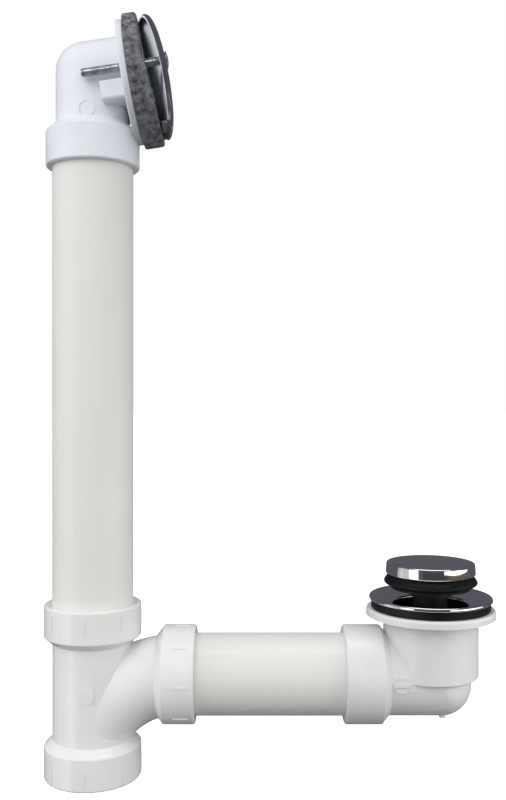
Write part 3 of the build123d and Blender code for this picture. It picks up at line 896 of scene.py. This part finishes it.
@dataclass
class Strainer(Turned):
    """The strainer: a dished flange on a barrel, with a cross that carries the stopper's post."""

    name: str = "drain_strainer_turned"
    node: str = "drain_strainer"
    body: Body = Body.PLUMBING
    hollow: bool = True
    foot_mm: float = 76.0
    foot_inner_round_mm: float = 0.3
    foot_outer_round_mm: float = 0.4
    throat_radius_mm: float = 21.0
    throat_top_mm: float = 102.8
    barrel_radius_mm: float = 23.7
    barrel_top_mm: float = 103.11
    dish_radius_mm: float = 22.3
    dish_floor_mm: float = 104.4
    dish_round_mm: float = 2.5
    lip_radius_mm: float = 34.45
    lip_round_mm: float = 1.6
    flange_radius_mm: float = 36.35
    flange_under_mm: float = 105.5
    flange_under_round_mm: float = 0.6
    flange_top_mm: float = 107.1
    flange_top_round_mm: float = 0.7
    spoke_width_mm: float = 4.0
    spoke_height_mm: float = 6.0
    spoke_reach_mm: float = 22.3
    spoke_root_mm: float = 0.5
    spokes: int = 4
    hub_mm: float = 13.0
    hub_hole_mm: float = 8.04
    hub_around: int = 48
    # Inside this radius the bore and the cross wear near-black brass as painted shade.
    painted_shade_radius_mm: float = 22.5
    painted_shade_finish: Finish = SHADE_DARK_BRASS

    def outline(self) -> tuple[Corner, ...]:
        """Section of the barrel and its flange, from the foot outwards and back down the throat.

        Returns:
            The corners.
        """
        return (
            Corner(self.throat_radius_mm, self.foot_mm, self.foot_inner_round_mm),
            Corner(self.barrel_radius_mm, self.foot_mm, self.foot_outer_round_mm),
            Corner(self.barrel_radius_mm, self.barrel_top_mm),
            Corner(self.lip_radius_mm, self.flange_under_mm),
            Corner(self.flange_radius_mm, self.flange_under_mm, self.flange_under_round_mm),
            Corner(self.flange_radius_mm, self.flange_top_mm, self.flange_top_round_mm),
            Corner(self.lip_radius_mm, self.flange_top_mm, self.lip_round_mm),
            Corner(self.dish_radius_mm, self.dish_floor_mm, self.dish_round_mm),
            Corner(self.throat_radius_mm, self.throat_top_mm, self.dish_round_mm),
        )

    def build(self) -> bpy.types.Object:
        """Builds the strainer, with painted shade in near-black brass on its bore and cross.

        Returns:
            The piece.
        """
        piece = super().build()
        piece.data.materials.append(self.painted_shade_finish.material())
        for face in piece.data.polygons:
            x, y = face.center.x * MM_PER_M, face.center.y * MM_PER_M
            in_painted_shade = math.hypot(x - self.axis_x_mm, y) < self.painted_shade_radius_mm
            face.material_index = int(in_painted_shade)
        return piece

    def finish_mesh(self, mesh: bpy.types.Mesh) -> None:
        """Adds the cross: its spokes and the bored hub.

        Args:
            mesh: Mesh of the turned strainer.
        """
        form = bmesh.new()
        form.from_mesh(mesh)
        inner, outer = self.hub_mm / 2, self.spoke_reach_mm
        length = outer - inner + self.spoke_root_mm
        size = Matrix.Diagonal((length, self.spoke_width_mm, self.spoke_height_mm, 1.0))
        reach = 0.5 * (outer + inner - self.spoke_root_mm)
        middle = Matrix.Translation((reach, 0.0, self.foot_mm + self.spoke_height_mm / 2))
        stand = Matrix.Translation((self.axis_x_mm, 0.0, 0.0))
        for k in range(self.spokes):
            spin = Matrix.Rotation(k * math.tau / self.spokes, 4, "Z")
            place = Matrix.Scale(1.0 / MM_PER_M, 4) @ (stand @ spin @ middle @ size)
            bmesh.ops.create_cube(form, size=1.0, matrix=place)
        hole, low, high = self.hub_hole_mm / 2, self.foot_mm, self.foot_mm + self.spoke_height_mm
        section = ((hole, low), (inner, low), (inner, high), (hole, high))
        rings = [self.ring(radius, height, self.hub_around) for radius, height in section]
        points, faces = skin(rings, looped=True)
        spots = [form.verts.new(point) for point in points]
        for face in faces:
            form.faces.new([spots[k] for k in face])
        bmesh.ops.recalc_face_normals(form, faces=form.faces)
        form.to_mesh(mesh)
        form.free()


@dataclass
class StopperCap(Turned):
    """The stopper's cap: a low crown with a bored boss under it."""

    name: str = "stopper_cap_turned"
    node: str = "stopper_cap"
    body: Body = Body.STOPPER
    middle_radius_mm: float = 0.05
    bore_radius_mm: float = 5.1
    bore_top_mm: float = 120.8
    boss_radius_mm: float = 8.0
    boss_foot_mm: float = 112.8
    rim_radius_mm: float = 26.6
    rim_under_mm: float = 120.7
    rim_under_round_mm: float = 0.9
    rim_top_mm: float = 127.6
    rim_top_round_mm: float = 1.2
    crown: tuple[Corner, ...] = (Corner(20.0, 128.08), Corner(13.0, 128.44), Corner(6.0, 128.64))
    crown_top_mm: float = 128.7

    def outline(self) -> tuple[Corner, ...]:
        """Section of the cap, from the top of its bore outwards and over the crown.

        Returns:
            The corners.
        """
        return (
            Corner(self.middle_radius_mm, self.bore_top_mm),
            Corner(self.bore_radius_mm, self.bore_top_mm),
            Corner(self.bore_radius_mm, self.boss_foot_mm),
            Corner(self.boss_radius_mm, self.boss_foot_mm),
            Corner(self.boss_radius_mm, self.rim_under_mm),
            Corner(self.rim_radius_mm, self.rim_under_mm, self.rim_under_round_mm),
            Corner(self.rim_radius_mm, self.rim_top_mm, self.rim_top_round_mm),
            *self.crown,
            Corner(self.middle_radius_mm, self.crown_top_mm),
        )


@dataclass
class FoamWedge:
    """The foam wedge, with softened cut edges and a slightly uneven skin."""

    node: str = "overflow_gasket"
    voxel_mm: float = 0.8
    smooth_passes: int = 3
    dent_mm: float = 0.35
    dent_size_mm: float = 6.0
    pit_mm: float = 0.12
    pit_size_mm: float = 1.5

    def softened(self) -> bpy.types.Mesh:
        """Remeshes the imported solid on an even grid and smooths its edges.

        Returns:
            The mesh.
        """
        blank = bpy.data.objects.new("foam_blank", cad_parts[self.node].data.copy())
        bpy.context.scene.collection.objects.link(blank)
        grid = blank.modifiers.new("even_grid", "REMESH")
        grid.mode = "VOXEL"
        grid.voxel_size = self.voxel_mm / MM_PER_M
        soft = blank.modifiers.new("soft_edges", "SMOOTH")
        soft.iterations = self.smooth_passes
        ready = blank.evaluated_get(bpy.context.evaluated_depsgraph_get())
        mesh = bpy.data.meshes.new_from_object(ready)
        bpy.data.objects.remove(blank)
        mesh.name = "overflow_foam_wedge"
        return mesh

    def hollow(self, spot: Vector, size_mm: float) -> float:
        """Depth of the skin's hollows of a size at a spot, from 0 to 1."""
        return 0.5 + 0.5 * noise.noise(spot * per_metre(size_mm))

    def build(self) -> bpy.types.Object:
        """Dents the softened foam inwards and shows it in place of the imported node.

        Returns:
            The piece.
        """
        mesh = self.softened()
        outward = [vertex.normal.copy() for vertex in mesh.vertices]
        for vertex, normal in zip(mesh.vertices, outward):
            dent = self.hollow(vertex.co, self.dent_size_mm)
            pit = self.hollow(vertex.co, self.pit_size_mm)
            vertex.co -= normal * (self.dent_mm * dent + self.pit_mm * pit) / MM_PER_M
        mesh.update()
        piece = new_piece("overflow_foam_wedge", mesh, FOAM, Body.PLUMBING)
        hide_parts(self.node)
        return piece


@dataclass
class WitnessLine:
    """The fine raised line that a mould insert left on the side of the tee."""

    barrel_mm: float = 24.0
    across_mm: float = 4.6
    span_mm: tuple[float, float] = (48.5, 62.0)
    width_mm: float = 0.45
    proud_mm: float = 0.3
    root_mm: float = 0.6

    def build(self) -> bpy.types.Object:
        """Builds the line as a slim bar that stands in the barrel's skin.

        Returns:
            The piece.
        """
        low, high = self.span_mm
        depth = self.proud_mm + self.root_mm
        skin_y = -math.sqrt(self.barrel_mm**2 - self.across_mm**2)
        middle = (self.across_mm, skin_y - self.proud_mm + depth / 2, 0.5 * (low + high))
        size = Matrix.Diagonal((self.width_mm, depth, high - low, 1.0))
        place = Matrix.Scale(1.0 / MM_PER_M, 4) @ Matrix.Translation(middle) @ size
        form = bmesh.new()
        bmesh.ops.create_cube(form, size=1.0, matrix=place)
        mesh = bpy.data.meshes.new("tee_witness_line")
        form.to_mesh(mesh)
        form.free()
        return new_piece("tee_witness_line", mesh, TEE_PVC, Body.PLUMBING, smooth=False)


@dataclass
class LatchSpring:
    """The push latch's spring, which the stopper squeezes against its seat on the post."""

    node: str = "latch_spring"
    joint: str = "stopper_slide"
    seat: Point = (DRAIN_X, 0.0, 0.1012)
    travel_mm: float = 7.0

    def build(self) -> bpy.types.Object:
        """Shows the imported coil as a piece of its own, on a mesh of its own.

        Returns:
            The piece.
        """
        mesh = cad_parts[self.node].data.copy()
        piece = new_piece("latch_spring_coil", mesh, SPRING_STEEL, Body.PLUMBING)
        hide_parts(self.node)
        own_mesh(piece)
        return piece


@dataclass
class Softbox:
    """An area light, square unless it has a height, that lights but doesn't show in mirrors."""

    name: str
    place: Point
    size: float
    watts: float
    aim: Point = SET_MIDDLE
    height: float | None = None
    only: str | None = None
    spread_deg: float = 180.0
    in_mirrors: bool = False

    def build(self) -> None:
        """Sets up the light, turned to face its aim and kept to one piece if it names one."""
        lamp = bpy.data.lights.new(self.name, "AREA")
        lamp.shape = "RECTANGLE"
        lamp.size = self.size
        lamp.size_y = self.height or self.size
        lamp.energy = self.watts
        lamp.spread = math.radians(self.spread_deg)
        held = bpy.data.objects.new(self.name, lamp)
        held.location = self.place
        line = Vector(self.aim) - Vector(self.place)
        held.rotation_euler = line.to_track_quat("-Z", "Y").to_euler()
        held.visible_camera = False
        held.visible_diffuse = not self.in_mirrors
        held.visible_glossy = self.in_mirrors
        if self.only:
            lit = bpy.data.collections.new(f"{self.name}_receivers")
            lit.objects.link(bpy.data.objects[self.only])
            held.light_linking.receiver_collection = lit
        bpy.context.scene.collection.objects.link(held)


@dataclass
class Strip(Softbox):
    """A light with a narrower spread that shows in mirrors and lights nothing else."""

    spread_deg: float = 100.0
    in_mirrors: bool = True


@dataclass(frozen=True)
class Card:
    """A bright card round the studio that only glossy surfaces show.

    Turns are in degrees from the camera's side, positive to the right; heights are the sine of the
    elevation.
    """

    turn: tuple[float, float]
    height: tuple[float, float]
    glow: float
    tint: str = WHITE
    soft_turn: float = 6.0
    soft_height: float = 0.08

    def shine(self) -> Colour:
        """Colour of the card's light."""
        red, green, blue, _ = linear(self.tint)
        return red * self.glow, green * self.glow, blue * self.glow, 1.0


@dataclass
class Studio:
    """Pale floor, soft lights, a white surround and the camera at the photo's angle."""

    camera_place: Point = (0.0966, -0.550, 0.2253)
    image_height_px: int = 800
    focal_px: float = 911.0
    sensor_mm: float = 36.0
    floor_size: float = 30.0
    sky: float = 0.75
    ground: float = 0.23
    horizon: float = 0.02
    dim: str = "5A5960"
    softboxes: tuple[Softbox, ...] = (
        Softbox("key_softbox", place=(-0.75, -1.05, 1.25), size=0.9, watts=8.18),
        Softbox("right_softbox", place=(1.2, -1.0, 0.9), size=0.9, watts=2.6),
        Softbox("front_softbox", place=(0.1, -1.6, 0.45), size=1.0, watts=3.84),
        Softbox("left_softbox", place=(-1.25, -0.4, 0.45), size=0.8, watts=4.19),
        Softbox("low_right_softbox", place=(1.45, -0.35, 0.3), size=0.8, watts=2.2),
        Softbox(
            "drain_softbox",
            place=(0.48, -0.12, 0.1),
            size=0.2,
            watts=0.26,
            aim=(DRAIN_X, 0.0, 0.09),
        ),
        # The dull back of the faceplate needs a light that leaves the foam in front of it as it is.
        Softbox(
            "hollow_softbox",
            place=(-0.12, -0.6, 0.6),
            size=0.12,
            watts=9.5,
            aim=(0.045, 0.0, 0.43),
            only="overflow_faceplate",
        ),
        Strip(
            "right_strip",
            place=(0.39, -0.12, 0.127),
            size=0.31,
            watts=0.042,
            aim=CAP_EDGE,
            height=0.058,
        ),
        Strip(
            "top_strip",
            place=(DRAIN_X, -0.03, 0.33),
            size=0.24,
            watts=0.075,
            aim=CAP_EDGE,
            height=0.12,
        ),
        # The screws' threads need a bright line above the camera that the faceplate doesn't show.
        Strip(
            "screw_strip",
            place=(0.0, -0.55, 0.74),
            size=0.9,
            watts=1.8,
            aim=(0.0, -0.03, 0.42),
            height=0.14,
            only="faceplate_screws_threaded",
        ),
    )
    cards: tuple[Card, ...] = (
        Card(turn=(-98.0, -64.0), height=(-0.6, 0.28), glow=0.6),
        Card(turn=(-66.0, -42.0), height=(-0.6, 0.28), glow=1.8),
        Card(turn=(-30.0, 34.0), height=(-0.6, -0.05), glow=0.06),
        Card(turn=(36.0, 112.0), height=(-0.6, -0.13), glow=0.13, tint="FFEBC8"),
    )

    def build(self) -> None:
        """Builds the whole studio."""
        self.floor()
        self.surround()
        self.camera()
        for box in self.softboxes:
            box.build()
        bpy.context.scene.view_settings.view_transform = "Standard"

    def floor(self) -> None:
        """A pale sweep of floor at the outlet's level, which gives no light back to the object."""
        half, level = self.floor_size / 2, CAD_BOX[0][2]
        sides = ((-half, -half), (half, -half), (half, half), (-half, half))
        mesh = bpy.data.meshes.new("studio_floor")
        mesh.from_pydata([(x, y, level) for x, y in sides], [], [(0, 1, 2, 3)])
        mesh.materials.append(FLOOR_PAINT.material())
        ground = bpy.data.objects.new("studio_floor", mesh)
        bpy.context.scene.collection.objects.link(ground)
        ground.visible_diffuse = False
        ground.visible_glossy = False
        ground.visible_shadow = False

    def window(
        self,
        tree: bpy.types.NodeTree,
        value: bpy.types.NodeSocket,
        limits: tuple[float, float],
        soft: float,
    ) -> bpy.types.NodeSocket:
        """1 where a value lies between two limits, falling softly to 0 outside them.

        Args:
            tree: Tree that takes the nodes.
            value: Socket with the value.
            limits: Lower and upper limit.
            soft: Width of each soft edge.

        Returns:
            The socket with the mask.
        """
        edges = []
        for limit, before, beyond in ((limits[0], 0.0, 1.0), (limits[1], 1.0, 0.0)):
            step = {
                "Value": value,
                "From Min": limit - soft / 2,
                "From Max": limit + soft / 2,
                "To Min": before,
                "To Max": beyond,
            }
            edge = put(tree, "ShaderNodeMapRange", step, interpolation_type="SMOOTHSTEP")
            edges.append(edge.outputs[0])
        both = {0: edges[0], 1: edges[1]}
        return put(tree, "ShaderNodeMath", both, operation="MULTIPLY").outputs[0]

    def daylight(
        self, tree: bpy.types.NodeTree, height: bpy.types.NodeSocket
    ) -> bpy.types.NodeSocket:
        """The soft light that dull surfaces take from round about, darker below the horizon.

        Args:
            tree: Tree that takes the nodes.
            height: Socket with the sine of the elevation.

        Returns:
            The socket with the colour.
        """
        edge = {"Value": height, "From Min": -self.horizon, "From Max": self.horizon}
        above = put(tree, "ShaderNodeMapRange", edge).outputs[0]
        low, high = [(grey, grey, grey, 1.0) for grey in (self.ground, self.sky)]
        both = {MIX_BY: above, COLOUR_A: low, COLOUR_B: high}
        return put(tree, "ShaderNodeMix", both, data_type="RGBA").outputs[MIXED_COLOUR]

    def reflections(
        self, tree: bpy.types.NodeTree, turn: bpy.types.NodeSocket, height: bpy.types.NodeSocket
    ) -> bpy.types.NodeSocket:
        """The dim room with its cards that mirrors show.

        Args:
            tree: Tree that takes the nodes.
            turn: Socket with the angle from the camera's side.
            height: Socket with the sine of the elevation.

        Returns:
            The socket with the colour.
        """
        room: Any = linear(self.dim)
        for card in self.cards:
            turns = (math.radians(card.turn[0]), math.radians(card.turn[1]))
            sides = {
                0: self.window(tree, turn, turns, math.radians(card.soft_turn)),
                1: self.window(tree, height, card.height, card.soft_height),
            }
            mask = put(tree, "ShaderNodeMath", sides, operation="MULTIPLY").outputs[0]
            both = {MIX_BY: mask, COLOUR_A: room, COLOUR_B: card.shine()}
            room = put(tree, "ShaderNodeMix", both, data_type="RGBA").outputs[MIXED_COLOUR]
        return room

    def surround(self) -> None:
        """A world that is white to the camera, soft on dull surfaces and dim in mirrors."""
        world = bpy.data.worlds.new("studio_surround")
        world.use_nodes = True
        bpy.context.scene.world = world
        tree = world.node_tree
        tree.nodes.clear()
        where = put(tree, "ShaderNodeTexCoord").outputs["Generated"]
        x, y, height = put(tree, "ShaderNodeSeparateXYZ", {0: where}).outputs
        nearer = put(tree, "ShaderNodeMath", {0: y, 1: -1.0}, operation="MULTIPLY").outputs[0]
        turn = put(tree, "ShaderNodeMath", {0: x, 1: nearer}, operation="ARCTAN2").outputs[0]
        ray = put(tree, "ShaderNodeLightPath").outputs
        shown = self.daylight(tree, height)
        for kind, view in (
            ("Is Glossy Ray", self.reflections(tree, turn, height)),
            ("Is Camera Ray", linear(WHITE)),
        ):
            both = {MIX_BY: ray[kind], COLOUR_A: shown, COLOUR_B: view}
            shown = put(tree, "ShaderNodeMix", both, data_type="RGBA").outputs[MIXED_COLOUR]
        glow = put(tree, "ShaderNodeBackground", {"Color": shown, "Strength": 1.0})
        put(tree, "ShaderNodeOutputWorld", {"Surface": glow.outputs[0]})

    def camera(self) -> None:
        """A level camera that looks along +Y, as in the photo."""
        lens = bpy.data.cameras.new("photo_camera")
        lens.sensor_fit = "VERTICAL"
        lens.sensor_height = self.sensor_mm
        lens.lens = self.sensor_mm * self.focal_px / self.image_height_px
        held = bpy.data.objects.new("photo_camera", lens)
        held.location = self.camera_place
        held.rotation_euler = (math.pi / 2, 0.0, 0.0)
        bpy.context.scene.collection.objects.link(held)
        bpy.context.scene.camera = held


DRESSINGS = (
    Dressing(("overflow_elbow",), ELBOW_PVC),
    Dressing(("waste_shoe",), SHOE_PVC),
    Dressing(("waste_tee",), TEE_PVC),
    Dressing(("overflow_tube",), RISER_PVC),
    Dressing(("waste_tube",), CROSS_PVC),
    Dressing(("overflow_gasket",), FOAM),
    Dressing(("faceplate_screws",), ZINC),
    Dressing(("overflow_faceplate",), PLATE_CHROME),
    Dressing(("drain_strainer", "stopper_cap"), CHROME),
    Dressing(("shoe_gasket", "stopper_seal"), RUBBER),
    # The retainer's near-black brass is painted shade under the seal.
    Dressing(("seal_retainer",), SHADE_DARK_BRASS),
    Dressing(("stopper_post",), BRASS),
    Dressing(("stopper_barrel", "latch_rotor"), ACETAL),
    Dressing(("latch_spring",), SPRING_STEEL),
)


def main() -> None:
    """Dresses the nodes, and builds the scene's own pieces and the studio."""
    logging.basicConfig(level=logging.INFO, format="%(message)s")
    for group in DRESSINGS:
        group.dress()
        LOG.info("dressed %s in %s", ", ".join(group.nodes), group.finish.name)
    for maker in (
        FaceplateScrews(),
        FoamWedge(),
        Strainer(),
        StopperCap(),
        WitnessLine(),
        LatchSpring(),
    ):
        piece = maker.build()
        LOG.info("built %s with %d faces", piece.name, len(piece.data.polygons))
    Studio().build()


if __name__ == "__main__":
    main()
